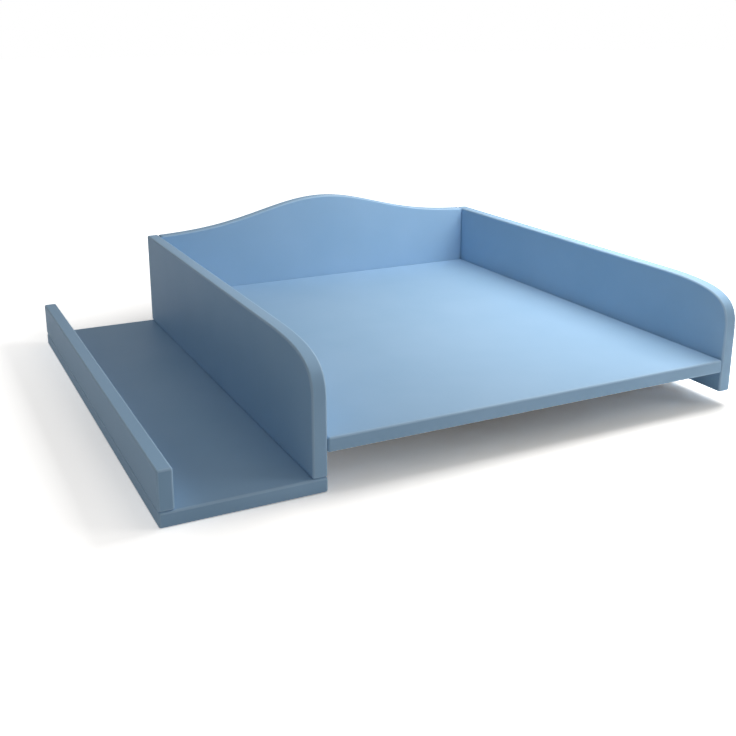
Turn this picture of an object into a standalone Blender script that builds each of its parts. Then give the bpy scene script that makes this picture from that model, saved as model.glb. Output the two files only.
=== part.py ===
"""Changing table topper: a tray of lacquered panels that straddles a cabinet or a washing machine,
with a narrow open shelf along its left side. The panels are joined by hidden furniture fittings.

Sizes are in metres and +Z is up. The origin lies on the ground, below the middle of the object.
"""

import math

import bmesh
import bpy
from mathutils import Euler, Matrix, Vector

# The tray and its shelf
PANEL_THICKNESS = 0.019
BAY_WIDTH = 0.610
BOARD_DEPTH = 0.700
WALL_HEIGHT = 0.103
LIP_HEIGHT = 0.030
TROUGH_WIDTH = 0.162
RIM_HEIGHT = 0.050
EDGE_RADIUS = 0.0025
SEAM = 0.0003

# The swept front corner of a side panel, and how far its curve holds to each straight side
CORNER_RUN = 0.140
CORNER_DROP = 0.060
CORNER_RUN_SHARE = 0.85
CORNER_DROP_SHARE = 0.75

# The wave on the back panel, and its width as a share of the bay's
HUMP_RISE = 0.048
HUMP_WIDTH_SHARE = 0.92

# Clearance round every fitting, and how far a cutter runs out of the wood
FIT_GAP = 0.0003
OVERRUN = 0.002

# Cam disc: the eccentric that pulls a bolt's head towards it
CAM_RADIUS = 0.0072
CAM_WALL = 0.0016
CAM_END_WALL = 0.0010
CAM_SETBACK = 0.024
CAM_SLOT_ROOM = 0.0004
CAM_CROSS_SPAN = 0.0074
CAM_CROSS_WIDTH = 0.0018
CAM_CROSS_DEPTH = 0.0024
CAM_SLOT_START = math.radians(-24)
CAM_MOUTH_ANGLE = math.radians(128)

# Cam bolt: thread in the upright panel, shank and head in the board's edge
BOLT_THREAD_RADIUS = 0.0024
BOLT_THREAD_LENGTH = 0.011
BOLT_SHANK_RADIUS = 0.0034
BOLT_NECK_RADIUS = 0.0019
BOLT_HEAD_RADIUS = 0.0032
BOLT_HEAD_LENGTH = 0.0036
BOLT_CHAMFER = 0.0008

# Fluted wooden dowel: one end sits in the face of a panel, the rest in the edge of the other
DOWEL_RADIUS = 0.004
DOWEL_LENGTH = 0.030
DOWEL_FACE_DEPTH = 0.011
DOWEL_CHAMFER = 0.0012
DOWEL_FLUTE_DEPTH = 0.0003

# Countersunk screw, driven upwards through the shelf board
SCREW_LENGTH = 0.050
SCREW_HEAD_RADIUS = 0.005
SCREW_HEAD_RIM = 0.0008
SCREW_CONE_LENGTH = 0.0022
SCREW_SHANK_RADIUS = 0.0034
SCREW_SHANK_LENGTH = 0.020
SCREW_THREAD_RADIUS = 0.0029
SCREW_TIP_LENGTH = 0.003
SCREW_TIP_RADIUS = 0.0014
SCREW_RECESS = 0.0004
SCREW_SOCKET_RADIUS = 0.0023
SCREW_SOCKET_DEPTH = 0.0028

# Where the fittings sit, as shares of the length of their joint
CAM_PLACE_SHARES = (0.10, 0.90)
DOWEL_PLACE_SHARES = (0.28, 0.72)
SCREW_PLACE_SHARES = (0.06, 0.50, 0.94)
CORNER_CAM_SHARE = 0.66
CORNER_DOWEL_SHARE = 0.22

# Facets
EDGE_SEGMENTS = 3
CORNER_STEPS = 12
HUMP_STEPS = 28
CAM_SIDES = 20
BORE_SIDES = 14
DOWEL_FLUTES = 8
SOCKET_SIDES = 6
SLOT_STEPS = 8
SMOOTH_ANGLE = math.radians(40)
ROUNDED_ANGLE = math.radians(60)
WELD = 0.00001

# Faces of the finished tray
SIDE_DEPTH = BOARD_DEPTH + PANEL_THICKNESS
TOTAL_WIDTH = TROUGH_WIDTH + BAY_WIDTH + 3 * PANEL_THICKNESS
RIM_OUTER_X = -TOTAL_WIDTH / 2
RIM_INNER_X = RIM_OUTER_X + PANEL_THICKNESS
LEFT_OUTER_X = RIM_INNER_X + TROUGH_WIDTH
LEFT_INNER_X = LEFT_OUTER_X + PANEL_THICKNESS
RIGHT_INNER_X = LEFT_INNER_X + BAY_WIDTH
FRONT_Y = -SIDE_DEPTH / 2
BACK_Y = SIDE_DEPTH / 2
BOARD_BACK_Y = FRONT_Y + BOARD_DEPTH
SHELF_TOP_Z = PANEL_THICKNESS
BOARD_BOTTOM_Z = SHELF_TOP_Z + LIP_HEIGHT
BOARD_MIDDLE_Z = BOARD_BOTTOM_Z + PANEL_THICKNESS / 2
BOARD_TOP_Z = BOARD_BOTTOM_Z + PANEL_THICKNESS
WALL_TOP_Z = BOARD_TOP_Z + WALL_HEIGHT

# How a panel lies: its outline is drawn in local X and Y, and local Z runs through its thickness
FLAT = Euler((0, 0, 0))
FACING_FRONT = Euler((math.radians(90), 0, 0))
FACING_RIGHT = Euler((math.radians(90), 0, math.radians(90)))

ALONG_X, ALONG_Y, ALONG_Z = Vector((1, 0, 0)), Vector((0, 1, 0)), Vector((0, 0, 1))


def clear_scene():
    for obj in list(bpy.data.objects):
        bpy.data.objects.remove(obj, do_unlink=True)


def material(name, colour, roughness, metallic):
    made = bpy.data.materials.new(name)
    made.use_nodes = True
    made.diffuse_color = (*colour, 1)
    shader = made.node_tree.nodes["Principled BSDF"]
    shader.inputs["Base Color"].default_value = (*colour, 1)
    shader.inputs["Roughness"].default_value = roughness
    shader.inputs["Metallic"].default_value = metallic
    return made


def finish_mesh(bm, name):
    """The bmesh as a mesh whose round faces are shaded smooth."""
    bmesh.ops.remove_doubles(bm, verts=bm.verts, dist=WELD)
    bmesh.ops.recalc_face_normals(bm, faces=bm.faces)
    mesh = bpy.data.meshes.new(name)
    bm.to_mesh(mesh)
    bm.free()
    mesh.shade_smooth()
    mesh.set_sharp_from_angle(angle=SMOOTH_ANGLE)
    return mesh


def place_object(name, mesh, matrix):
    obj = bpy.data.objects.new(name, mesh)
    obj.matrix_world = matrix
    bpy.context.scene.collection.objects.link(obj)
    return obj


def add_piece(name, mesh, paint, matrix):
    """One piece of the topper, in its place. Like pieces share a mesh."""
    obj = place_object(name, mesh, matrix)
    obj.parent = topper
    if not mesh.materials:
        mesh.materials.append(paint)
    return obj


def axes_at(origin, x_axis, z_axis):
    """A placing at an origin, turned so that X and Z run along the given axes."""
    turn = Matrix((x_axis, z_axis.cross(x_axis), z_axis)).transposed().to_4x4()
    return Matrix.Translation(origin) @ turn


def carve(obj, cutters):
    """Takes the cutters' shapes out of an object, all at once, and marks its new sharp edges."""
    tools = bpy.data.collections.new("tools")
    for cutter in cutters:
        tools.objects.link(cutter)
    cut = obj.modifiers.new("cut", "BOOLEAN")
    cut.operand_type = "COLLECTION"
    cut.collection = tools
    graph = bpy.context.evaluated_depsgraph_get()
    mesh = bpy.data.meshes.new_from_object(obj.evaluated_get(graph))
    mesh.name = obj.data.name
    mesh.set_sharp_from_angle(angle=SMOOTH_ANGLE)
    obj.modifiers.clear()
    obj.data = mesh
    bpy.data.collections.remove(tools)


def carved_mesh(blank, cutter_meshes):
    """The blank mesh with the shapes of the others, in the same frame, taken out of it."""
    helpers = [place_object(mesh.name, mesh, Matrix()) for mesh in (blank, *cutter_meshes)]
    carve(helpers[0], helpers[1:])
    mesh = helpers[0].data
    for helper in helpers:
        bpy.data.objects.remove(helper)
    return mesh


# Panels


def prism(outline, height, base=0):
    """A bmesh of an outline in X and Y, extruded along Z from base."""
    bm = bmesh.new()
    face = bm.faces.new([bm.verts.new((x, y, base)) for x, y in outline])
    top = bmesh.ops.extrude_face_region(bm, geom=[face])["geom"]
    raised = [item for item in top if isinstance(item, bmesh.types.BMVert)]
    bmesh.ops.translate(bm, verts=raised, vec=(0, 0, height))
    bmesh.ops.recalc_face_normals(bm, faces=bm.faces)
    return bm


def sharp_edges(bm):
    return [edge for edge in bm.edges if edge.calc_face_angle() > ROUNDED_ANGLE]


def bevel_edges(bm, edges, size, segments):
    bmesh.ops.bevel(
        bm, geom=edges, offset=size, segments=segments, profile=0.5, affect="EDGES", material=-1
    )


def lies_on(edge, side):
    """Whether an edge lies wholly on a side of the outline, given as (axis, place)."""
    axis, place = side
    return all(abs(vert.co[axis] - place) < WELD for vert in edge.verts)


def panel(name, outline, place, lie, square_sides=()):
    """A panel whose edges are rounded, but for the sides that butt against another panel."""
    bm = prism(outline, PANEL_THICKNESS)
    edges = sharp_edges(bm)
    rounded = [edge for edge in edges if not any(lies_on(edge, side) for side in square_sides)]
    bevel_edges(bm, rounded, EDGE_RADIUS, EDGE_SEGMENTS)
    matrix = Matrix.Translation(place) @ lie.to_matrix().to_4x4()
    return add_piece(name, finish_mesh(bm, name), lacquer, matrix)


def rectangle(width, height):
    return [(0, 0), (width, 0), (width, height), (0, height)]


def curve_point(points, along):
    """A point of the cubic curve through two ends, drawn towards two handles."""
    start, first, second, end = (Vector(point) for point in points)
    left = 1 - along
    return (
        left**3 * start
        + 3 * left**2 * along * first
        + 3 * left * along**2 * second
        + along**3 * end
    )


def side_outline(height):
    """Front edge at 0, foot at 0: a straight top that sweeps down into the front edge."""
    sweep = (
        (CORNER_RUN, height),
        (CORNER_RUN * (1 - CORNER_RUN_SHARE), height),
        (0, height - CORNER_DROP * (1 - CORNER_DROP_SHARE)),
        (0, height - CORNER_DROP),
    )
    steps = range(CORNER_STEPS + 1)
    corner = [tuple(curve_point(sweep, step / CORNER_STEPS)) for step in steps]
    return [(0, 0), (SIDE_DEPTH, 0), (SIDE_DEPTH, height)] + corner


def back_outline(width, height):
    """Level shoulders with one smooth wave between them."""
    hump_width = BAY_WIDTH * HUMP_WIDTH_SHARE
    start = (width + hump_width) / 2
    wave = []
    for step in range(HUMP_STEPS + 1):
        share = step / HUMP_STEPS
        rise = HUMP_RISE * (1 - math.cos(2 * math.pi * share)) / 2
        wave.append((start - hump_width * share, height + rise))
    return [(0, 0), (width, 0), (width, height)] + wave + [(0, height)]


def changing_board():
    width = BAY_WIDTH - 2 * SEAM
    depth = BOARD_DEPTH - SEAM
    return panel(
        "changing_board",
        rectangle(width, depth),
        (LEFT_INNER_X + SEAM, FRONT_Y, BOARD_BOTTOM_Z),
        FLAT,
        square_sides=((0, 0), (0, width), (1, depth)),
    )


def side_panel(name, outer_x):
    foot_z = SHELF_TOP_Z + SEAM
    outline = side_outline(WALL_TOP_Z - foot_z)
    return panel(name, outline, (outer_x, FRONT_Y, foot_z), FACING_RIGHT)


def back_panel():
    width = BAY_WIDTH - 2 * SEAM
    return panel(
        "back_panel",
        back_outline(width, WALL_TOP_Z - BOARD_BOTTOM_Z),
        (LEFT_INNER_X + SEAM, BACK_Y, BOARD_BOTTOM_Z),
        FACING_FRONT,
        square_sides=((0, 0), (0, width)),
    )


def shelf_board():
    width = LEFT_INNER_X - RIM_OUTER_X
    return panel("shelf_board", rectangle(width, SIDE_DEPTH), (RIM_OUTER_X, FRONT_Y, 0), FLAT)


def shelf_rim():
    outline = rectangle(SIDE_DEPTH, RIM_HEIGHT - SEAM)
    return panel("shelf_rim", outline, (RIM_OUTER_X, FRONT_Y, SHELF_TOP_Z + SEAM), FACING_RIGHT)


# Fittings. Each is modelled in its own frame, and the bore that takes it in the same frame


def turned(name, profile, sides=BORE_SIDES):
    """A solid turned about X from (along, radius) points that start and end on the axis."""
    bm = bmesh.new()
    verts = [bm.verts.new((along, radius, 0)) for along, radius in profile]
    edges = [bm.edges.new(pair) for pair in zip(verts, verts[1:])]
    bmesh.ops.spin(
        bm,
        geom=verts + edges,
        cent=(0, 0, 0),
        axis=ALONG_X,
        angle=2 * math.pi,
        steps=sides,
        use_merge=True,
    )
    return finish_mesh(bm, name)


def cylinder_along_z(name, radius, low, high, sides):
    bm = bmesh.new()
    middle = Matrix.Translation((0, 0, (low + high) / 2))
    bmesh.ops.create_cone(
        bm, cap_ends=True, segments=sides, radius1=radius, radius2=radius, depth=high - low, matrix=middle
    )
    return finish_mesh(bm, name)


def cam_axis_height():
    """From a disc's open face, which sits just inside the wood, up to the bolt's axis."""
    return PANEL_THICKNESS / 2 - FIT_GAP


def cavity_half_height():
    return BOLT_HEAD_RADIUS + CAM_SLOT_ROOM


def cam_height():
    return cam_axis_height() + cavity_half_height() + CAM_END_WALL


def cam_disc():
    """Open face at Z 0 with its driver cross, bolt entering along -X from the +X side."""
    axis_z, half = cam_axis_height(), cavity_half_height()
    blank = cylinder_along_z("cam_disc", CAM_RADIUS, 0, cam_height(), CAM_SIDES)
    cavity = cylinder_along_z("cavity", CAM_RADIUS - CAM_WALL, axis_z - half, axis_z + half, CAM_SIDES)

    reach = CAM_RADIUS + OVERRUN
    slot_half = BOLT_NECK_RADIUS + CAM_SLOT_ROOM
    turn = CAM_MOUTH_ANGLE - CAM_SLOT_START
    angles = [CAM_SLOT_START + turn * step / SLOT_STEPS for step in range(SLOT_STEPS + 1)]
    sector = [(0, 0)] + [(reach * math.cos(angle), reach * math.sin(angle)) for angle in angles]
    slot = finish_mesh(prism(sector, 2 * slot_half, base=axis_z - slot_half), "slot")

    mouth = turned("mouth", [(0, 0), (0, half), (reach, half), (reach, 0)])
    mouth.transform(Matrix.Translation((0, 0, axis_z)) @ Matrix.Rotation(CAM_MOUTH_ANGLE, 4, "Z"))

    arm, wide = CAM_CROSS_SPAN / 2, CAM_CROSS_WIDTH / 2
    quarter = [(wide, wide), (wide, arm), (-wide, arm)]
    outline = []
    for corner in range(4):
        turn_by = Matrix.Rotation(corner * math.pi / 2, 2)
        outline += [tuple(turn_by @ Vector(point)) for point in quarter]
    cross = finish_mesh(prism(outline, OVERRUN + CAM_CROSS_DEPTH, base=-OVERRUN), "cross")
    return carved_mesh(blank, (cavity, slot, mouth, cross))


def cam_disc_bore():
    high = cam_height() + FIT_GAP
    return cylinder_along_z("cam_disc_bore", CAM_RADIUS + FIT_GAP, -OVERRUN, high, CAM_SIDES)


def disc_place():
    """A disc in its bolt's frame: on the bolt's line, with its open face just inside the wood."""
    open_face = Vector((CAM_SETBACK, 0, -cam_axis_height()))
    return axes_at(open_face, -ALONG_X, ALONG_Z)


def cam_bolt():
    """Thread along -X into the upright panel, head along +X inside the disc."""
    shank_end = CAM_SETBACK - CAM_RADIUS - FIT_GAP
    head_start = CAM_SETBACK - CAM_RADIUS + CAM_WALL + FIT_GAP
    head_end = head_start + BOLT_HEAD_LENGTH
    profile = [
        (-BOLT_THREAD_LENGTH, 0),
        (-BOLT_THREAD_LENGTH, BOLT_THREAD_RADIUS - BOLT_CHAMFER),
        (BOLT_CHAMFER - BOLT_THREAD_LENGTH, BOLT_THREAD_RADIUS),
        (SEAM, BOLT_THREAD_RADIUS),
        (SEAM + BOLT_CHAMFER, BOLT_SHANK_RADIUS),
        (shank_end - BOLT_CHAMFER, BOLT_SHANK_RADIUS),
        (shank_end, BOLT_NECK_RADIUS),
        (head_start, BOLT_NECK_RADIUS),
        (head_start + BOLT_CHAMFER, BOLT_HEAD_RADIUS),
        (head_end - BOLT_CHAMFER, BOLT_HEAD_RADIUS),
        (head_end, BOLT_NECK_RADIUS),
        (head_end, 0),
    ]
    return turned("cam_bolt", profile)


def cam_bolt_bore():
    """Narrow in the upright panel and wide in the board's edge, up to the disc's axis."""
    narrow = BOLT_THREAD_RADIUS + FIT_GAP
    wide = max(BOLT_SHANK_RADIUS, BOLT_HEAD_RADIUS) + FIT_GAP
    end = BOLT_THREAD_LENGTH + FIT_GAP
    step = SEAM / 2
    profile = [
        (-end, 0),
        (-end, narrow),
        (step, narrow),
        (step, wide),
        (CAM_SETBACK, wide),
        (CAM_SETBACK, 0),
    ]
    return turned("cam_bolt_bore", profile)


def dowel():
    """A fluted rod along X with chamfered ends, from the face bore at -X to the edge bore at +X."""
    outline = []
    for step in range(2 * DOWEL_FLUTES):
        radius = DOWEL_RADIUS - DOWEL_FLUTE_DEPTH * (step % 2)
        angle = math.pi * step / DOWEL_FLUTES
        outline.append((radius * math.cos(angle), radius * math.sin(angle)))
    bm = prism(outline, DOWEL_LENGTH, base=-DOWEL_FACE_DEPTH)
    bevel_edges(bm, sharp_edges(bm), DOWEL_CHAMFER, segments=1)
    bmesh.ops.transform(bm, matrix=Matrix.Rotation(math.pi / 2, 4, "Y"), verts=bm.verts)
    return finish_mesh(bm, "dowel")


def dowel_bore():
    start = -DOWEL_FACE_DEPTH - FIT_GAP
    end = DOWEL_LENGTH - DOWEL_FACE_DEPTH + FIT_GAP
    radius = DOWEL_RADIUS + FIT_GAP
    return turned("dowel_bore", [(start, 0), (start, radius), (end, radius), (end, 0)])


def screw_profile(room, lead):
    """Head at 0, tip along +X. Room widens it for the bore, and lead runs the bore out of the wood."""
    cone_end = SCREW_HEAD_RIM + SCREW_CONE_LENGTH
    return [
        (-lead, 0),
        (-lead, SCREW_HEAD_RADIUS + room),
        (SCREW_HEAD_RIM, SCREW_HEAD_RADIUS + room),
        (cone_end, SCREW_SHANK_RADIUS + room),
        (SCREW_SHANK_LENGTH + room, SCREW_SHANK_RADIUS + room),
        (SCREW_SHANK_LENGTH + room, SCREW_THREAD_RADIUS + room),
        (SCREW_LENGTH - SCREW_TIP_LENGTH + room, SCREW_THREAD_RADIUS + room),
        (SCREW_LENGTH + room, SCREW_TIP_RADIUS + room),
        (SCREW_LENGTH + room, 0),
    ]


def screw():
    blank = turned("screw", screw_profile(0, 0))
    socket_profile = [
        (-OVERRUN, 0),
        (-OVERRUN, SCREW_SOCKET_RADIUS),
        (SCREW_SOCKET_DEPTH, SCREW_SOCKET_RADIUS),
        (SCREW_SOCKET_DEPTH, 0),
    ]
    return carved_mesh(blank, (turned("socket", socket_profile, SOCKET_SIDES),))


def screw_bore():
    return turned("screw_bore", screw_profile(FIT_GAP, OVERRUN))


# Joints. A joint's bores cut both of the panels that meet there


def bore(joint, kind, place):
    """Puts a bore's shape in its place, for the panels of the joint to be cut by."""
    bores.setdefault(joint, []).append(place_object(f"{joint}_{kind}", meshes[kind], place))


def set_cam(joint, side, seat, into_board, from_open_face):
    """A bolt in the upright panel's face at its seat, and the disc that grips it in the board."""
    place = axes_at(seat, into_board, from_open_face)
    add_piece(f"{joint}_cam_bolt_{side}", meshes["cam_bolt"], steel, place)
    add_piece(f"{joint}_cam_disc_{side}", meshes["cam_disc"], zinc, place @ disc_place())
    bore(joint, "cam_bolt_bore", place)
    bore(joint, "cam_disc_bore", place @ disc_place())


def set_dowel(joint, side, seat, into_edge, across):
    place = axes_at(seat, into_edge, across)
    add_piece(f"{joint}_dowel_{side}", meshes["dowel"], beech, place)
    bore(joint, "dowel_bore", place)


def cam_joint(joint, sides, corner, run, length, into_board):
    """The board's edge against an upright panel: cam, dowel, dowel, cam along the run."""
    for side, share in zip(sides, CAM_PLACE_SHARES):
        set_cam(joint, side, corner + run * length * share, into_board, ALONG_Z)
    for side, share in zip(sides, DOWEL_PLACE_SHARES):
        set_dowel(joint, side, corner + run * length * share, into_board, ALONG_Z)


def back_corner(side, inner_x, into_back):
    """The back panel's end against a side panel, its disc set in the rear face."""
    height = WALL_TOP_Z - BOARD_BOTTOM_Z
    foot = Vector((inner_x, BACK_Y - PANEL_THICKNESS / 2, BOARD_BOTTOM_Z))
    cam_seat = foot + ALONG_Z * height * CORNER_CAM_SHARE
    dowel_seat = foot + ALONG_Z * height * CORNER_DOWEL_SHARE
    set_cam("corner", side, cam_seat, into_back, -ALONG_Y)
    set_dowel("corner", side, dowel_seat, into_back, ALONG_Z)


def shelf_joint(joint, middle_x):
    """An upright panel on the shelf board: three screws from below and two dowels."""
    for side, share in zip(("front", "middle", "rear"), SCREW_PLACE_SHARES):
        head = Vector((middle_x, FRONT_Y + SIDE_DEPTH * share, SCREW_RECESS))
        place = axes_at(head, ALONG_Z, ALONG_X)
        add_piece(f"{joint}_screw_{side}", meshes["screw"], steel, place)
        bore(joint, "screw_bore", place)
    for side, share in zip(("front", "rear"), DOWEL_PLACE_SHARES):
        seat = Vector((middle_x, FRONT_Y + SIDE_DEPTH * share, SHELF_TOP_Z))
        set_dowel(joint, side, seat, ALONG_Z, ALONG_X)


def drill(panel_object, *joints):
    """Cuts the bores of a panel's joints, and keeps its shading even over the flat faces."""
    carve(panel_object, [cutter for joint in joints for cutter in bores[joint]])
    panel_object.modifiers.new("even_shading", "WEIGHTED_NORMAL").keep_sharp = True


clear_scene()
topper = bpy.data.objects.new("topper", None)
bpy.context.scene.collection.objects.link(topper)

lacquer = material("blue_lacquer", (0.31, 0.50, 0.74), roughness=0.38, metallic=0.0)
zinc = material("zinc", (0.62, 0.63, 0.64), roughness=0.42, metallic=1.0)
steel = material("plated_steel", (0.70, 0.70, 0.72), roughness=0.30, metallic=1.0)
beech = material("beech", (0.66, 0.47, 0.29), roughness=0.60, metallic=0.0)

fittings = (cam_disc, cam_disc_bore, cam_bolt, cam_bolt_bore, dowel, dowel_bore, screw, screw_bore)
meshes = {fitting.__name__: fitting() for fitting in fittings}
bores = {}

board = changing_board()
left = side_panel("left_side_panel", LEFT_OUTER_X)
right = side_panel("right_side_panel", RIGHT_INNER_X)
back = back_panel()
shelf = shelf_board()
rim = shelf_rim()

left_edge = Vector((LEFT_INNER_X, FRONT_Y, BOARD_MIDDLE_Z))
right_edge = Vector((RIGHT_INNER_X, FRONT_Y, BOARD_MIDDLE_Z))
back_edge = Vector((LEFT_INNER_X, BOARD_BACK_Y, BOARD_MIDDLE_Z))
cam_joint("left", ("front", "rear"), left_edge, ALONG_Y, BOARD_DEPTH, ALONG_X)
cam_joint("right", ("front", "rear"), right_edge, ALONG_Y, BOARD_DEPTH, -ALONG_X)
cam_joint("back", ("left", "right"), back_edge, ALONG_X, BAY_WIDTH, -ALONG_Y)
back_corner("left", LEFT_INNER_X, ALONG_X)
back_corner("right", RIGHT_INNER_X, -ALONG_X)
shelf_joint("panel", LEFT_OUTER_X + PANEL_THICKNESS / 2)
shelf_joint("rim", RIM_OUTER_X + PANEL_THICKNESS / 2)

drill(board, "left", "right", "back")
drill(left, "left", "corner", "panel")
drill(right, "right", "corner")
drill(back, "back", "corner")
drill(shelf, "panel", "rim")
drill(rim, "rim")
for cutters in bores.values():
    for cutter in cutters:
        bpy.data.objects.remove(cutter)
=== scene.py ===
import math

import bmesh
import bpy
from mathutils import Matrix, Vector
from mathutils.geometry import interpolate_bezier


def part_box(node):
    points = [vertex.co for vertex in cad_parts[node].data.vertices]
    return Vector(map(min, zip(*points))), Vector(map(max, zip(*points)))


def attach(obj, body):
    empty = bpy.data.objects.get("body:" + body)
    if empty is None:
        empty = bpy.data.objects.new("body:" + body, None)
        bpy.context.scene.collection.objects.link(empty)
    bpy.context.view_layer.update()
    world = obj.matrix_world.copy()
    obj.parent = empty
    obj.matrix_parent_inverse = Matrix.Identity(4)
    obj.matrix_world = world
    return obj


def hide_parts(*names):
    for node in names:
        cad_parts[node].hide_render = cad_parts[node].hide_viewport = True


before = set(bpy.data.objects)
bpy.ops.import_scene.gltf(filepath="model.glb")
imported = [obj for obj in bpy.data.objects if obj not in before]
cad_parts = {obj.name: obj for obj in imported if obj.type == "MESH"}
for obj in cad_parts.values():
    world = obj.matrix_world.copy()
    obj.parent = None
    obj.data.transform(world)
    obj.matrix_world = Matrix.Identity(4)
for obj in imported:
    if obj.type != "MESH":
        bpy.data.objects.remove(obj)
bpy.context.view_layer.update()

# Dowels
# Fluted beech pins, chamfered at both ends, that line the panels up while the joints are drawn
# tight. One end sits in a panel's face and the rest in the other panel's edge.
DOWEL_FLUTES = 20
DOWEL_FLUTE_DEPTH = 0.0003
DOWEL_CHAMFER = 0.0012
FIT_GAP = 0.0003
WELD = 0.00001
BORE_SIDES = 32
SMOOTH_ANGLE = math.radians(35)
ROUNDED_ANGLE = math.radians(60)
BEECH_PALE = (0.68, 0.49, 0.31)
BEECH_DARK = (0.52, 0.34, 0.19)
BEECH_STRETCH = 0.12
BEECH_RELIEF = 0.00006
BLEND_START = 0.3
BLEND_END = 0.7

ALONG_X, ALONG_Y, ALONG_Z = Vector((1, 0, 0)), Vector((0, 1, 0)), Vector((0, 0, 1))
cutters = {}


def end_of(node, direction):
    """The middle of the side of a node's box that faces in a direction."""
    low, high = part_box(node)
    half = (high - low) / 2
    return low + half + Vector(part * room for part, room in zip(direction, half))


def size_along(node, direction):
    low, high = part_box(node)
    return abs((high - low).dot(direction))


def axes_at(origin, x_axis, z_axis):
    """A placing at an origin, turned so that X and Z run along the given axes."""
    turn = Matrix((x_axis, z_axis.cross(x_axis), z_axis)).transposed().to_4x4()
    return Matrix.Translation(origin) @ turn


def solid(bm, name):
    """The bmesh as a closed mesh with its faces pointing out, smooth but for its sharp edges."""
    bmesh.ops.remove_doubles(bm, verts=bm.verts, dist=WELD)
    bmesh.ops.recalc_face_normals(bm, faces=bm.faces)
    mesh = bpy.data.meshes.new(name)
    bm.to_mesh(mesh)
    bm.free()
    mesh.shade_smooth()
    mesh.set_sharp_from_angle(angle=SMOOTH_ANGLE)
    return mesh


def linked(name, mesh):
    obj = bpy.data.objects.new(name, mesh)
    bpy.context.scene.collection.objects.link(obj)
    return obj


def fitted(node, mesh, place, finish):
    """One finished fitting that stands for its CAD node, with its place in its mesh."""
    own = mesh.copy()
    own.name = node
    own.transform(place)
    own.materials.clear()
    own.materials.append(finish)
    piece = linked(f"{node}_finished", own)
    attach(piece, "root")
    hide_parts(node)


def turned(name, profile, sides):
    """A solid turned about X from (along, radius) points that start and end on the axis."""
    bm = bmesh.new()
    verts = [bm.verts.new((along, radius, 0)) for along, radius in profile]
    edges = [bm.edges.new(pair) for pair in zip(verts, verts[1:])]
    bmesh.ops.spin(
        bm,
        geom=verts + edges,
        cent=(0, 0, 0),
        axis=ALONG_X,
        angle=2 * math.pi,
        steps=sides,
        use_merge=True,
    )
    return solid(bm, name)


def bevelled(bm, edges, size, segments):
    """Rounds or chamfers the edges, and gives back the faces that this makes."""
    made = bmesh.ops.bevel(
        bm, geom=edges, offset=size, segments=segments, profile=0.5, affect="EDGES", material=-1
    )
    return made["faces"]


def bare_finish(name, roughness, metallic=0.0):
    """A material whose Object coordinates, shader and links are there to build on."""
    made = bpy.data.materials.new(name)
    made.use_nodes = True
    tree = made.node_tree
    shader = tree.nodes["Principled BSDF"]
    shader.inputs["Roughness"].default_value = roughness
    shader.inputs["Metallic"].default_value = metallic
    place = tree.nodes.new("ShaderNodeTexCoord").outputs["Object"]
    return made, tree, shader, place


def speckle(tree, place, scale, detail=2.0):
    """Noise of a given number of grains to the metre."""
    noise = tree.nodes.new("ShaderNodeTexNoise")
    noise.inputs["Scale"].default_value = scale
    noise.inputs["Detail"].default_value = detail
    tree.links.new(place, noise.inputs["Vector"])
    return noise.outputs["Fac"]


def ramp(tree, factor, dark, pale):
    """Runs from one colour to another over the middle of the factor's range."""
    blend = tree.nodes.new("ShaderNodeValToRGB")
    blend.color_ramp.elements[0].position = BLEND_START
    blend.color_ramp.elements[1].position = BLEND_END
    blend.color_ramp.elements[0].color = (*dark, 1)
    blend.color_ramp.elements[1].color = (*pale, 1)
    tree.links.new(factor, blend.inputs["Fac"])
    return blend.outputs["Color"]


def spread(tree, factor, low, high):
    """Maps a factor from its full range to a range of values."""
    mapped = tree.nodes.new("ShaderNodeMapRange")
    mapped.inputs["To Min"].default_value = low
    mapped.inputs["To Max"].default_value = high
    tree.links.new(factor, mapped.inputs["Value"])
    return mapped.outputs["Result"]


def relief(tree, shader, height, depth):
    """Raises the surface by depth, in metres, where the height is full."""
    bump = tree.nodes.new("ShaderNodeBump")
    bump.inputs["Distance"].default_value = depth
    tree.links.new(height, bump.inputs["Height"])
    tree.links.new(bump.outputs["Normal"], shader.inputs["Normal"])


def beech(direction):
    """Beech whose grain and short dark flecks run along a direction."""
    made, tree, shader, place = bare_finish("beech", roughness=0.62)
    along = tree.nodes.new("ShaderNodeMapping")
    along.inputs["Scale"].default_value = [BEECH_STRETCH if part else 1 for part in direction]
    tree.links.new(place, along.inputs["Vector"])
    grain = speckle(tree, along.outputs["Vector"], scale=1600, detail=4)
    tree.links.new(ramp(tree, grain, BEECH_DARK, BEECH_PALE), shader.inputs["Base Color"])
    relief(tree, shader, grain, BEECH_RELIEF)
    return made


def dowel_mesh(length, radius):
    """Along X from 0, with rounded flutes from end to end."""
    bm = bmesh.new()
    bmesh.ops.create_circle(bm, cap_ends=True, segments=2 * DOWEL_FLUTES, radius=radius)
    root_share = 1 - DOWEL_FLUTE_DEPTH / radius
    bmesh.ops.scale(bm, vec=(root_share, root_share, 1), verts=list(bm.verts)[::2])
    raised = bmesh.ops.extrude_face_region(bm, geom=bm.faces[:])["geom"]
    tips = [item for item in raised if isinstance(item, bmesh.types.BMVert)]
    bmesh.ops.translate(bm, verts=tips, vec=(0, 0, length))
    rims = [edge for edge in bm.edges if abs(edge.verts[0].co.z - edge.verts[1].co.z) < WELD]
    bevelled(bm, rims, DOWEL_CHAMFER, segments=1)
    bmesh.ops.rotate(bm, verts=bm.verts, matrix=Matrix.Rotation(math.pi / 2, 3, "Y"))
    return solid(bm, "dowel")


def bore(joint, mesh, place):
    """Keeps the shape of a bore, for the joint's two panels to be drilled with."""
    shape = mesh.copy()
    shape.transform(place)
    cutters.setdefault(joint, []).append(shape)


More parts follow.
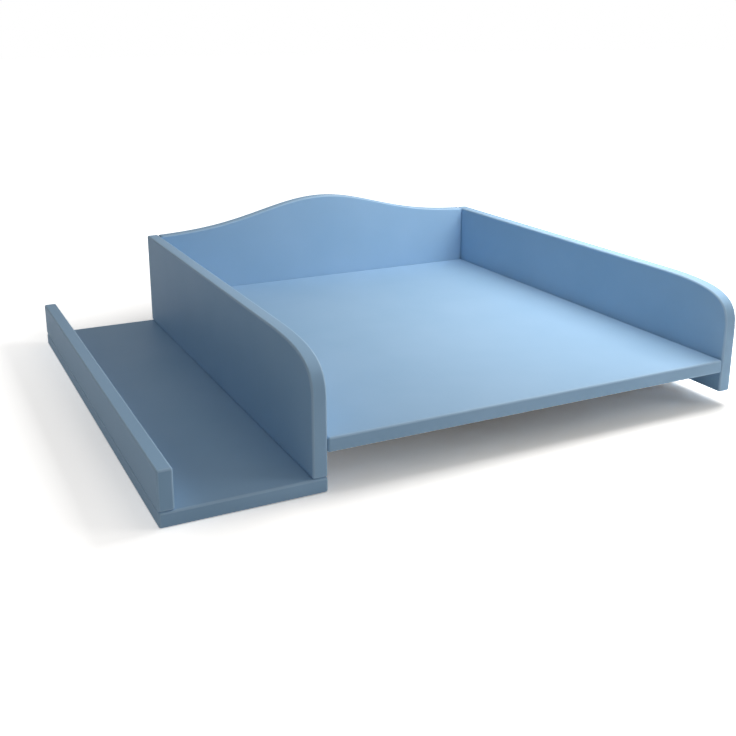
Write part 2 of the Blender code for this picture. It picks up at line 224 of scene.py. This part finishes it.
beech_finish = {tuple(way): beech(way) for way in (ALONG_X, ALONG_Y, ALONG_Z)}
DOWELS = [
    ("left", "front", ALONG_X),
    ("left", "rear", ALONG_X),
    ("right", "front", ALONG_X),
    ("right", "rear", ALONG_X),
    ("back", "left", ALONG_Y),
    ("back", "right", ALONG_Y),
    ("corner", "left", ALONG_X),
    ("corner", "right", ALONG_X),
    ("panel", "front", ALONG_Z),
    ("panel", "rear", ALONG_Z),
    ("rim", "front", ALONG_Z),
    ("rim", "rear", ALONG_Z),
]
DOWEL_LENGTH = size_along("left_dowel_front", ALONG_X)
DOWEL_RADIUS = size_along("left_dowel_front", ALONG_Y) / 2
dowel = dowel_mesh(DOWEL_LENGTH, DOWEL_RADIUS)
dowel_bore = turned(
    "dowel_bore",
    [
        (-FIT_GAP, 0),
        (-FIT_GAP, DOWEL_RADIUS + FIT_GAP),
        (DOWEL_LENGTH + FIT_GAP, DOWEL_RADIUS + FIT_GAP),
        (DOWEL_LENGTH + FIT_GAP, 0),
    ],
    BORE_SIDES,
)
for joint, side, way in DOWELS:
    node = f"{joint}_dowel_{side}"
    seat = axes_at(end_of(node, -way), way, ALONG_X if way == ALONG_Z else ALONG_Z)
    fitted(node, dowel, seat, beech_finish[tuple(way)])
    bore(joint, dowel_bore, seat)

# Cam bolts
# Zinc-plated steel bolts, screwed into the upright panel at each joint. The shank fills the bore
# in the other panel's edge, and the neck and head stand out into the cam disc that grips them.
BOLT_THREAD_LENGTH = 0.011
BOLT_CORE_RADIUS = 0.0018
BOLT_CREST_RADIUS = 0.0025
BOLT_PITCH = 0.0016
BOLT_SHANK_RADIUS = 0.0034
BOLT_SHANK_LENGTH = 0.0165
BOLT_NECK_RADIUS = 0.0019
BOLT_HEAD_RADIUS = 0.0032
BOLT_HEAD_LENGTH = 0.0036
BOLT_CHAMFER = 0.0006
BOLT_DOME = 0.0012
BOLT_SIDES = 32
THREAD_STEPS = 20
THREAD_SINK = 0.0003
THREAD_HALF_SHARE = 0.4
CAM_SETBACK = 0.024
SEAM = 0.0003
STEEL_PALE = (0.74, 0.74, 0.76)
STEEL_DARK = (0.62, 0.63, 0.66)
STEEL_RELIEF = 0.00001


def plated_steel():
    """Bright zinc plating, faintly mottled, with fine turning marks."""
    made, tree, shader, place = bare_finish("plated_steel", roughness=0.3, metallic=1.0)
    mottle = speckle(tree, place, scale=700, detail=4)
    tree.links.new(ramp(tree, mottle, STEEL_DARK, STEEL_PALE), shader.inputs["Base Color"])
    tree.links.new(spread(tree, mottle, low=0.22, high=0.38), shader.inputs["Roughness"])
    relief(tree, shader, speckle(tree, place, scale=4000), STEEL_RELIEF)
    return made


def combined(blank, others, operation):
    """The blank mesh with the others cut out of it, or joined to it, all at once."""
    helpers = [linked("blank", blank)] + [linked("other", other) for other in others]
    tools = bpy.data.collections.new("tools")
    for helper in helpers[1:]:
        tools.objects.link(helper)
    change = helpers[0].modifiers.new("change", "BOOLEAN")
    change.operation = operation
    change.operand_type = "COLLECTION"
    change.collection = tools
    change.material_mode = "TRANSFER"
    graph = bpy.context.evaluated_depsgraph_get()
    mesh = bpy.data.meshes.new_from_object(helpers[0].evaluated_get(graph))
    for helper in helpers:
        bpy.data.objects.remove(helper)
    bpy.data.collections.remove(tools)
    bm = bmesh.new()
    bm.from_mesh(mesh)
    bmesh.ops.dissolve_degenerate(bm, edges=bm.edges, dist=WELD / 4)
    bm.to_mesh(mesh)
    bm.free()
    mesh.set_sharp_from_angle(angle=SMOOTH_ANGLE)
    return mesh


def thread(start, end, core, crest, pitch):
    """A ridge that winds about X, with its foot sunk in the core."""
    foot = core - THREAD_SINK
    half = pitch * THREAD_HALF_SHARE
    bm = bmesh.new()
    ridge = [(start - half, foot), (start, crest), (start + half, foot)]
    face = bm.faces.new([bm.verts.new((along, radius, 0)) for along, radius in ridge])
    turns = (end - start) / pitch
    steps = round(turns * THREAD_STEPS)
    bmesh.ops.spin(
        bm,
        geom=[face, *face.edges, *face.verts],
        cent=(0, 0, 0),
        axis=ALONG_X,
        dvec=ALONG_X * (end - start) / steps,
        angle=2 * math.pi * turns,
        steps=steps,
    )
    return solid(bm, "thread")


def cam_bolt_mesh():
    """Along X from its thread's tip, with the joint's seam at the end of the thread."""
    seam = BOLT_THREAD_LENGTH
    shank_end = seam + BOLT_SHANK_LENGTH
    head_end = size_along("left_cam_bolt_front", ALONG_X)
    head_start = head_end - BOLT_HEAD_LENGTH
    blank = turned(
        "cam_bolt",
        [
            (0, 0),
            (0, BOLT_CORE_RADIUS - BOLT_CHAMFER),
            (BOLT_CHAMFER, BOLT_CORE_RADIUS),
            (seam + SEAM, BOLT_CORE_RADIUS),
            (seam + SEAM, BOLT_SHANK_RADIUS - BOLT_CHAMFER),
            (seam + SEAM + BOLT_CHAMFER, BOLT_SHANK_RADIUS),
            (shank_end - BOLT_CHAMFER, BOLT_SHANK_RADIUS),
            (shank_end, BOLT_SHANK_RADIUS - BOLT_CHAMFER),
            (shank_end, BOLT_NECK_RADIUS),
            (head_start, BOLT_NECK_RADIUS),
            (head_start + BOLT_CHAMFER, BOLT_HEAD_RADIUS),
            (head_end - BOLT_DOME, BOLT_HEAD_RADIUS),
            (head_end - BOLT_CHAMFER / 2, BOLT_HEAD_RADIUS - BOLT_CHAMFER),
            (head_end, BOLT_NECK_RADIUS),
            (head_end, 0),
        ],
        BOLT_SIDES,
    )
    winding = thread(BOLT_PITCH, seam - BOLT_PITCH, BOLT_CORE_RADIUS, BOLT_CREST_RADIUS, BOLT_PITCH)
    return combined(blank, [winding], "UNION")


steel = plated_steel()
CAMS = [
    ("left", "front", ALONG_X, ALONG_Z),
    ("left", "rear", ALONG_X, ALONG_Z),
    ("right", "front", -ALONG_X, ALONG_Z),
    ("right", "rear", -ALONG_X, ALONG_Z),
    ("back", "left", -ALONG_Y, ALONG_Z),
    ("back", "right", -ALONG_Y, ALONG_Z),
    ("corner", "left", ALONG_X, -ALONG_Y),
    ("corner", "right", -ALONG_X, -ALONG_Y),
]
cam_bolt = cam_bolt_mesh()
cam_bolt_bore = turned(
    "cam_bolt_bore",
    [
        (-FIT_GAP, 0),
        (-FIT_GAP, BOLT_CREST_RADIUS + 2 * FIT_GAP),
        (BOLT_THREAD_LENGTH + SEAM / 2, BOLT_CREST_RADIUS + 2 * FIT_GAP),
        (BOLT_THREAD_LENGTH + SEAM / 2, BOLT_SHANK_RADIUS + FIT_GAP),
        (BOLT_THREAD_LENGTH + CAM_SETBACK, BOLT_SHANK_RADIUS + FIT_GAP),
        (BOLT_THREAD_LENGTH + CAM_SETBACK, 0),
    ],
    BOLT_SIDES,
)
for joint, side, into_edge, from_open_face in CAMS:
    node = f"{joint}_cam_bolt_{side}"
    seat = axes_at(end_of(node, -into_edge), into_edge, from_open_face)
    fitted(node, cam_bolt, seat, steel)
    bore(joint, cam_bolt_bore, seat)

# Cam discs
# Die-cast zinc eccentrics, turned from their open face with a cross driver. The bolt's head goes
# in at the mouth, and the slot's narrowing cavity draws it in as the disc turns.
DISC_WALL = 0.0016
DISC_END_WALL = 0.001
DISC_CHAMFER = 0.0004
DISC_SIDES = 64
SLOT_ROOM = 0.0004
SLOT_START = math.radians(-24)
MOUTH_ANGLE = math.radians(128)
SLOT_STEPS = 24
CROSS_SPAN = 0.0074
CROSS_WIDTH = 0.0018
CROSS_DEPTH = 0.0024
ARROW_LENGTH = 0.0016
ARROW_DEPTH = 0.0003
OVERRUN = 0.002
ZINC_PALE = (0.66, 0.67, 0.68)
ZINC_DARK = (0.50, 0.51, 0.53)
ZINC_RELIEF = 0.00004


def cast_zinc():
    """Dull grey castings, with the grain of the mould and a little polish on the high spots."""
    made, tree, shader, place = bare_finish("cast_zinc", roughness=0.45, metallic=1.0)
    grain = speckle(tree, place, scale=2200, detail=5)
    tree.links.new(ramp(tree, grain, ZINC_DARK, ZINC_PALE), shader.inputs["Base Color"])
    tree.links.new(spread(tree, grain, low=0.36, high=0.56), shader.inputs["Roughness"])
    relief(tree, shader, grain, ZINC_RELIEF)
    return made


def rod(radius, low, high, sides):
    """A cylinder about Z, as a bmesh."""
    bm = bmesh.new()
    bmesh.ops.create_cone(
        bm,
        cap_ends=True,
        segments=sides,
        radius1=radius,
        radius2=radius,
        depth=high - low,
        matrix=Matrix.Translation((0, 0, (low + high) / 2)),
    )
    return bm


def prism(outline, low, high):
    """An outline in X and Y, extruded along Z, as a mesh."""
    bm = bmesh.new()
    bm.faces.new([bm.verts.new((x, y, low)) for x, y in outline])
    raised = bmesh.ops.extrude_face_region(bm, geom=bm.faces[:])["geom"]
    tops = [item for item in raised if isinstance(item, bmesh.types.BMVert)]
    bmesh.ops.translate(bm, verts=tops, vec=(0, 0, high - low))
    return solid(bm, "prism")


def cam_disc_mesh():
    """Open face at Z 0, with the bolt coming in from +X."""
    half = BOLT_HEAD_RADIUS + SLOT_ROOM
    axis_z = DISC_HEIGHT - DISC_END_WALL - half
    blank = rod(DISC_RADIUS, 0, DISC_HEIGHT, DISC_SIDES)
    rims = [edge for edge in blank.edges if abs(edge.verts[0].co.z - edge.verts[1].co.z) < WELD]
    bevelled(blank, rims, DISC_CHAMFER, segments=2)
    cavity = solid(rod(DISC_RADIUS - DISC_WALL, axis_z - half, axis_z + half, DISC_SIDES), "cavity")

    reach = DISC_RADIUS + OVERRUN
    slot_half = BOLT_NECK_RADIUS + SLOT_ROOM
    turn = MOUTH_ANGLE - SLOT_START
    angles = [SLOT_START + turn * step / SLOT_STEPS for step in range(SLOT_STEPS + 1)]
    sector = [(0, 0)] + [(reach * math.cos(angle), reach * math.sin(angle)) for angle in angles]
    slot = prism(sector, axis_z - slot_half, axis_z + slot_half)

    mouth = turned("mouth", [(0, 0), (0, half), (reach, half), (reach, 0)], BOLT_SIDES)
    mouth.transform(Matrix.Translation((0, 0, axis_z)) @ Matrix.Rotation(MOUTH_ANGLE, 4, "Z"))

    arm, wide = CROSS_SPAN / 2, CROSS_WIDTH / 2
    quarter = [Vector(point) for point in ((wide, wide), (wide, arm), (-wide, arm))]
    turns = [Matrix.Rotation(corner * math.pi / 2, 2) for corner in range(4)]
    cross_outline = [turned_by @ point for turned_by in turns for point in quarter]
    cross = prism(cross_outline, -OVERRUN, CROSS_DEPTH)

    tip = DISC_RADIUS - DISC_CHAMFER * 2
    tail = tip - ARROW_LENGTH
    arrow = [(tip, 0), (tail, ARROW_LENGTH / 2), (tail, -ARROW_LENGTH / 2)]
    pointer = prism(arrow, -OVERRUN, ARROW_DEPTH)
    pointer.transform(Matrix.Rotation(MOUTH_ANGLE, 4, "Z"))
    return combined(solid(blank, "cam_disc"), [cavity, slot, mouth, cross, pointer], "DIFFERENCE")


zinc = cast_zinc()
DISC_RADIUS = size_along("left_cam_disc_front", ALONG_X) / 2
DISC_HEIGHT = size_along("left_cam_disc_front", ALONG_Z)
cam_disc = cam_disc_mesh()
cam_disc_bore = solid(
    rod(DISC_RADIUS + FIT_GAP, -OVERRUN, DISC_HEIGHT + FIT_GAP, DISC_SIDES), "disc_bore"
)
for joint, side, into_edge, from_open_face in CAMS:
    node = f"{joint}_cam_disc_{side}"
    seat = axes_at(end_of(node, -from_open_face), -into_edge, from_open_face)
    fitted(node, cam_disc, seat, zinc)
    bore(joint, cam_disc_bore, seat)

# Screws
# Countersunk furniture screws of the same plated steel, with a hexagon socket and a coarse thread,
# driven up through the shelf board into the panel and the rim that stand on it.
SCREW_HEAD_RADIUS = 0.005
SCREW_HEAD_RIM = 0.0008
SCREW_CONE_LENGTH = 0.0022
SCREW_SHANK_RADIUS = 0.0034
SCREW_SHANK_LENGTH = 0.020
SCREW_CORE_RADIUS = 0.0021
SCREW_CREST_RADIUS = 0.0030
SCREW_BORE_RADIUS = 0.0032
SCREW_PITCH = 0.003
SCREW_TIP_LENGTH = 0.003
SCREW_TIP_RADIUS = 0.0012
SCREW_SOCKET_RADIUS = 0.0023
SCREW_SOCKET_DEPTH = 0.0028
SCREW_EASE = 0.0002
SOCKET_SIDES = 6


def screw_mesh():
    """Along X from its head's flat face."""
    cone_end = SCREW_HEAD_RIM + SCREW_CONE_LENGTH
    blank = turned(
        "screw",
        [
            (0, 0),
            (0, SCREW_HEAD_RADIUS - SCREW_EASE),
            (SCREW_EASE, SCREW_HEAD_RADIUS),
            (SCREW_HEAD_RIM, SCREW_HEAD_RADIUS),
            (cone_end, SCREW_SHANK_RADIUS),
            (SCREW_SHANK_LENGTH - SCREW_EASE, SCREW_SHANK_RADIUS),
            (SCREW_SHANK_LENGTH, SCREW_SHANK_RADIUS - SCREW_EASE),
            (SCREW_SHANK_LENGTH, SCREW_CORE_RADIUS),
            (SCREW_LENGTH - SCREW_TIP_LENGTH, SCREW_CORE_RADIUS),
            (SCREW_LENGTH, SCREW_TIP_RADIUS),
            (SCREW_LENGTH, 0),
        ],
        BOLT_SIDES,
    )
    winding = thread(
        SCREW_SHANK_LENGTH + SCREW_PITCH,
        SCREW_LENGTH - SCREW_TIP_LENGTH,
        SCREW_CORE_RADIUS,
        SCREW_CREST_RADIUS,
        SCREW_PITCH,
    )
    socket_outline = [
        (-OVERRUN, 0),
        (-OVERRUN, SCREW_SOCKET_RADIUS),
        (SCREW_SOCKET_DEPTH, SCREW_SOCKET_RADIUS),
        (SCREW_SOCKET_DEPTH, 0),
    ]
    socket = turned("socket", socket_outline, SOCKET_SIDES)
    return combined(combined(blank, [winding], "UNION"), [socket], "DIFFERENCE")


SCREW_LENGTH = size_along("rim_screw_front", ALONG_Z)
screw = screw_mesh()
screw_bore = turned(
    "screw_bore",
    [
        (-OVERRUN, 0),
        (-OVERRUN, SCREW_HEAD_RADIUS + FIT_GAP),
        (SCREW_HEAD_RIM, SCREW_HEAD_RADIUS + FIT_GAP),
        (SCREW_HEAD_RIM + SCREW_CONE_LENGTH, SCREW_SHANK_RADIUS + FIT_GAP),
        (SCREW_SHANK_LENGTH + FIT_GAP, SCREW_SHANK_RADIUS + FIT_GAP),
        (SCREW_SHANK_LENGTH + FIT_GAP, SCREW_BORE_RADIUS),
        (SCREW_LENGTH + FIT_GAP, SCREW_BORE_RADIUS),
        (SCREW_LENGTH + FIT_GAP, 0),
    ],
    BOLT_SIDES,
)
for joint in ("panel", "rim"):
    for side in ("front", "middle", "rear"):
        node = f"{joint}_screw_{side}"
        seat = axes_at(end_of(node, -ALONG_Z), ALONG_Z, ALONG_X)
        fitted(node, screw, seat, steel)
        bore(joint, screw_bore, seat)

# Changing board
# The flat board that the mat lies on: fibreboard whose edges are rounded before it is sprayed with
# a satin blue lacquer. Cams draw it tight between the side panels and against the back panel.
EDGE_RADIUS = 0.003
EDGE_SEGMENTS = 6
LACQUER_PALE = (0.355, 0.545, 0.745)
LACQUER_DEEP = (0.328, 0.52, 0.72)
# The rounded edges' colour: paler for less lacquer there, and a painted highlight
LACQUER_THIN_AND_HIGHLIGHT = (0.45, 0.64, 0.83)
FIBRE_PALE = (0.60, 0.45, 0.30)
FIBRE_DARK = (0.42, 0.30, 0.18)
LACQUER_RELIEF = 0.00003
FIBRE_RELIEF = 0.0001
# A Mix node's colour sockets go by number, as its other kinds of socket have the same names
MIX_FROM = 6
MIX_TO = 7
MIX_RESULT = 2


def blue_lacquer():
    """Sprayed satin lacquer: near even, with a spray gun's faint ripple, and paler over a rounded
    edge, where less lacquer lies and where a highlight is painted."""
    made, tree, shader, place = bare_finish("blue_lacquer", roughness=0.57)
    shader.inputs["Specular IOR Level"].default_value = 0.2
    cloud = speckle(tree, place, scale=9, detail=3)
    # Painted highlight, with less lacquer: the rounded edges are paler, in patches
    edge = tree.nodes.new("ShaderNodeAttribute")
    edge.attribute_name = "lacquer_thinning_and_highlight"
    edge_patches = spread(tree, speckle(tree, place, scale=60, detail=3), low=0.6, high=1)
    thinning_and_highlight = tree.nodes.new("ShaderNodeMath")
    thinning_and_highlight.operation = "MULTIPLY"
    tree.links.new(edge.outputs["Fac"], thinning_and_highlight.inputs[0])
    tree.links.new(edge_patches, thinning_and_highlight.inputs[1])
    coat = tree.nodes.new("ShaderNodeMix")
    coat.data_type = "RGBA"
    tree.links.new(thinning_and_highlight.outputs["Value"], coat.inputs["Factor"])
    tree.links.new(ramp(tree, cloud, LACQUER_DEEP, LACQUER_PALE), coat.inputs[MIX_FROM])
    coat.inputs[MIX_TO].default_value = (*LACQUER_THIN_AND_HIGHLIGHT, 1)
    tree.links.new(coat.outputs[MIX_RESULT], shader.inputs["Base Color"])
    sheen = spread(tree, speckle(tree, place, scale=350), low=0.52, high=0.62)
    tree.links.new(sheen, shader.inputs["Roughness"])
    relief(tree, shader, speckle(tree, place, scale=420, detail=3), LACQUER_RELIEF)
    return made


def raw_fibreboard():
    """The bare brown board inside a bore."""
    made, tree, shader, place = bare_finish("raw_fibreboard", roughness=0.85)
    fibres = speckle(tree, place, scale=1500, detail=5)
    tree.links.new(ramp(tree, fibres, FIBRE_DARK, FIBRE_PALE), shader.inputs["Base Color"])
    relief(tree, shader, fibres, FIBRE_RELIEF)
    return made


lacquer = blue_lacquer()
fibreboard = raw_fibreboard()
for shapes in cutters.values():
    for shape in shapes:
        shape.materials.append(fibreboard)


def panel(node, outline, through, butting_sides, joints):
    """A panel cut to an outline, rounded all round and drilled for its joints. Its free edges are
    marked paler, for less lacquer and as a painted highlight, but not those of the sides that butt
    against another panel."""
    bm = bmesh.new()
    thinning_and_highlight = bm.verts.layers.float.new("lacquer_thinning_and_highlight")
    bm.faces.new([bm.verts.new(point) for point in outline])
    raised = bmesh.ops.extrude_face_region(bm, geom=bm.faces[:])["geom"]
    tops = [item for item in raised if isinstance(item, bmesh.types.BMVert)]
    bmesh.ops.translate(bm, verts=tops, vec=through)
    bmesh.ops.recalc_face_normals(bm, faces=bm.faces)
    edges = [edge for edge in bm.edges if edge.calc_face_angle() > ROUNDED_ANGLE]
    rounding = set(bevelled(bm, edges, EDGE_RADIUS, EDGE_SEGMENTS))
    # Marks the rounded free edges for the paler colour, which is partly a painted highlight
    for vert in bm.verts:
        butts = any(abs(vert.co[axis] - at) < EDGE_RADIUS for axis, at in butting_sides)
        vert[thinning_and_highlight] = not butts and rounding.issuperset(vert.link_faces)
    blank = solid(bm, node)
    blank.materials.append(lacquer)
    bores = [shape.copy() for joint in joints for shape in cutters[joint]]
    piece = linked(f"{node}_finished", combined(blank, bores, "DIFFERENCE"))
    piece.modifiers.new("even_shading", "WEIGHTED_NORMAL").keep_sharp = True
    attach(piece, "root")
    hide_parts(node)


def corners(low, high):
    """The four corners of a box's underside."""
    return [
        (low.x, low.y, low.z),
        (high.x, low.y, low.z),
        (high.x, high.y, low.z),
        (low.x, high.y, low.z),
    ]


board_low, board_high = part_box("changing_board")
panel(
    "changing_board",
    corners(board_low, board_high),
    ALONG_Z * (board_high.z - board_low.z),
    ((0, board_low.x), (0, board_high.x), (1, board_high.y)),
    ("left", "right", "back"),
)

# Side panels
# Two like panels of the same lacquered fibreboard that hold the board between them. The straight
# top sweeps down into the front edge, and the foot hangs below the board as a lip.
CORNER_RUN = 0.140
CORNER_DROP = 0.060
CORNER_RUN_SHARE = 0.85
CORNER_DROP_SHARE = 0.75
CORNER_STEPS = 48


def side_panel(node, joints):
    low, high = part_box(node)
    corner = interpolate_bezier(
        Vector((low.x, low.y + CORNER_RUN, high.z)),
        Vector((low.x, low.y + CORNER_RUN * (1 - CORNER_RUN_SHARE), high.z)),
        Vector((low.x, low.y, high.z - CORNER_DROP * (1 - CORNER_DROP_SHARE))),
        Vector((low.x, low.y, high.z - CORNER_DROP)),
        CORNER_STEPS + 1,
    )
    square_corners = [(low.x, low.y, low.z), (low.x, high.y, low.z), (low.x, high.y, high.z)]
    panel(node, square_corners + corner, ALONG_X * (high.x - low.x), (), joints)


side_panel("left_side_panel", ("left", "corner", "panel"))
side_panel("right_side_panel", ("right", "corner"))

# Back panel
# Lacquered fibreboard too, cammed to the board's rear edge and to both side panels. Its top rises
# from both ends in one smooth wave, and meets the side panels' tops level.
WAVE_WIDTH_SHARE = 0.268
WAVE_STEPS = 96

back_low, back_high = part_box("back_panel")
SHOULDER_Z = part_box("left_side_panel")[1].z


def bell(share):
    """One in the middle of the panel, and falling off smoothly on both sides."""
    return math.exp(-(((share - 0.5) / WAVE_WIDTH_SHARE) ** 2))


wave = []
for step in range(WAVE_STEPS + 1):
    share = step / WAVE_STEPS
    rise = (back_high.z - SHOULDER_Z) * (bell(share) - bell(0)) / (1 - bell(0))
    wave.append((back_high.x + (back_low.x - back_high.x) * share, back_low.y, SHOULDER_Z + rise))
panel(
    "back_panel",
    [(back_low.x, back_low.y, back_low.z), (back_high.x, back_low.y, back_low.z), *wave],
    ALONG_Y * (back_high.y - back_low.y),
    ((0, back_low.x), (0, back_high.x)),
    ("back", "corner"),
)

# Shelf board
# The lowest panel, of the same lacquered fibreboard. It carries the left side panel along one edge
# and the rim along the other, both screwed down from below.
shelf_low, shelf_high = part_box("shelf_board")
panel(
    "shelf_board",
    corners(shelf_low, shelf_high),
    ALONG_Z * (shelf_high.z - shelf_low.z),
    (),
    ("panel", "rim"),
)

# Shelf rim
# A low strip of the same lacquered fibreboard that keeps jars and bottles on the shelf. It stands
# on the shelf board's outer edge, screwed and dowelled from below.
rim_low, rim_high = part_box("shelf_rim")
panel("shelf_rim", corners(rim_low, rim_high), ALONG_Z * (rim_high.z - rim_low.z), (), ("rim",))

# Floor
# A plain white floor that takes the tray's soft shadow. What is seen of it glows more and more with
# distance, into a white backdrop, and what it throws back at the tray is matt white paint's. Near
# the tray the seen glow is painted light: it warms the shadow under the board and lifts it most on
# the tray's left.
FLOOR_SIZE = 30
FLOOR_WHITE = (0.90, 0.90, 0.90)
# Painted light: the seen paint is a little warm and the glow's near stops are tinted, to warm and
# lift the tray's shadow
FLOOR_SEEN = (1.53, 1.51, 1.48)
GLOW_CENTRE = (0.30, -0.10, 0)
GLOW_REACH = 1.2
GLOW_STOPS = [
    (0.30, (0.065, 0.035, 0)),
    (0.45, (0.115, 0.095, 0.07)),
    (0.60, (0.20, 0.18, 0.16)),
    (0.75, (0.45, 0.44, 0.43)),
    (1.00, (0.70, 0.70, 0.70)),
    (1.20, (1, 1, 1)),
]


def seen_rays(tree):
    """One for rays that go to the camera or come from gloss or glass, and nought for the rest."""
    path = tree.nodes.new("ShaderNodeLightPath")
    seen = path.outputs["Is Camera Ray"]
    for kind in ("Is Glossy Ray", "Is Transmission Ray"):
        either = tree.nodes.new("ShaderNodeMath")
        either.operation = "MAXIMUM"
        tree.links.new(seen, either.inputs[0])
        tree.links.new(path.outputs[kind], either.inputs[1])
        seen = either.outputs["Value"]
    return seen


def matt(tree, colour):
    paint = tree.nodes.new("ShaderNodeBsdfDiffuse")
    paint.inputs["Color"].default_value = (*colour, 1)
    return paint.outputs["BSDF"]


bm = bmesh.new()
bmesh.ops.create_grid(bm, x_segments=1, y_segments=1, size=FLOOR_SIZE / 2)
bmesh.ops.translate(bm, verts=bm.verts, vec=(0, 0, -SEAM))
floor_mesh = bpy.data.meshes.new("floor")
bm.to_mesh(floor_mesh)
bm.free()

floor_paint = bpy.data.materials.new("floor_white")
floor_paint.use_nodes = True
floor_tree = floor_paint.node_tree
floor_tree.nodes.remove(floor_tree.nodes["Principled BSDF"])
floor_place = floor_tree.nodes.new("ShaderNodeTexCoord").outputs["Object"]
centred = floor_tree.nodes.new("ShaderNodeVectorMath")
centred.operation = "DISTANCE"
centred.inputs[1].default_value = GLOW_CENTRE
floor_tree.links.new(floor_place, centred.inputs[0])
outward = floor_tree.nodes.new("ShaderNodeMapRange")
outward.inputs["From Max"].default_value = GLOW_REACH
floor_tree.links.new(centred.outputs["Value"], outward.inputs["Value"])
brighter = floor_tree.nodes.new("ShaderNodeValToRGB")
floor_tree.links.new(outward.outputs["Result"], brighter.inputs["Fac"])
stops = brighter.color_ramp.elements
while len(stops) < len(GLOW_STOPS):
    stops.new(1)
for stop, (distance, colour) in zip(stops, GLOW_STOPS):
    stop.position = distance / GLOW_REACH
    stop.color = (*colour, 1)
glow = floor_tree.nodes.new("ShaderNodeEmission")
floor_tree.links.new(brighter.outputs["Color"], glow.inputs["Color"])
backdrop = floor_tree.nodes.new("ShaderNodeAddShader")
floor_tree.links.new(matt(floor_tree, FLOOR_SEEN), backdrop.inputs[0])
floor_tree.links.new(glow.outputs["Emission"], backdrop.inputs[1])
floor_mix = floor_tree.nodes.new("ShaderNodeMixShader")
floor_tree.links.new(seen_rays(floor_tree), floor_mix.inputs["Fac"])
floor_tree.links.new(matt(floor_tree, FLOOR_WHITE), floor_mix.inputs[1])
floor_tree.links.new(backdrop.outputs["Shader"], floor_mix.inputs[2])
floor_output = floor_tree.nodes["Material Output"]
floor_tree.links.new(floor_mix.outputs["Shader"], floor_output.inputs["Surface"])
floor_mesh.materials.append(floor_paint)
floor = linked("floor", floor_mesh)

# Light
# A softbox hangs over the tray's right side, a weak one over its front left corner, and a wide one
# stands off to the right. The room round them is white to look at and throws a weak even light.
ROOM_LIGHT = 0.19
ROOM_WHITE = (1, 1, 1, 1)

world = bpy.data.worlds.new("white_room")
bpy.context.scene.world = world
world.use_nodes = True
room = world.node_tree
lighting = room.nodes["Background"]
lighting.inputs["Color"].default_value = ROOM_WHITE
lighting.inputs["Strength"].default_value = ROOM_LIGHT
white = room.nodes.new("ShaderNodeBackground")
white.inputs["Color"].default_value = ROOM_WHITE
room_mix = room.nodes.new("ShaderNodeMixShader")
room.links.new(seen_rays(room), room_mix.inputs["Fac"])
room.links.new(lighting.outputs["Background"], room_mix.inputs[1])
room.links.new(white.outputs["Background"], room_mix.inputs[2])
room.links.new(room_mix.outputs["Shader"], room.nodes["World Output"].inputs["Surface"])


def softbox(name, place, aim, width, depth, power):
    """A soft white lamp, its width across the room and its depth away from the camera."""
    data = bpy.data.lights.new(name, "AREA")
    data.shape = "RECTANGLE"
    data.size = width
    data.size_y = depth
    data.energy = power
    box = bpy.data.objects.new(name, data)
    box.location = place
    box.rotation_euler = (Vector(aim) - Vector(place)).to_track_quat("-Z", "Y").to_euler()
    bpy.context.scene.collection.objects.link(box)


softbox(
    "softbox_above",
    place=(0.65, -0.10, 0.80),
    aim=(0.65, -0.10, 0),
    width=0.70,
    depth=0.50,
    power=8.8,
)
softbox(
    "softbox_front",
    place=(-0.10, -0.45, 0.80),
    aim=(-0.10, -0.45, 0),
    width=0.35,
    depth=0.35,
    power=0.45,
)
softbox(
    "softbox_side",
    place=(3.140, -1.813, 1.770),
    aim=(0, 0, 0.08),
    width=1.60,
    depth=1.60,
    power=20,
)

# Camera
# Stands off the tray's front left corner and looks down into it from above the walls. The shift
# sets the tray low in the square picture and keeps the lens level with its middle.
CAMERA_PLACE = (-0.63817, -1.31234, 0.52340)
CAMERA_TILT = math.radians(73.96)
CAMERA_TURN = math.radians(-26.49)
CAMERA_LENS = 48.16
CAMERA_SENSOR = 36
CAMERA_SHIFT = -0.0826

camera_data = bpy.data.cameras.new("camera")
camera_data.sensor_width = CAMERA_SENSOR
camera_data.lens = CAMERA_LENS
camera_data.shift_y = CAMERA_SHIFT
camera = bpy.data.objects.new("camera", camera_data)
camera.location = CAMERA_PLACE
camera.rotation_euler = (CAMERA_TILT, 0, CAMERA_TURN)
bpy.context.scene.collection.objects.link(camera)
bpy.context.scene.camera = camera

bpy.context.scene.view_settings.view_transform = "Standard"
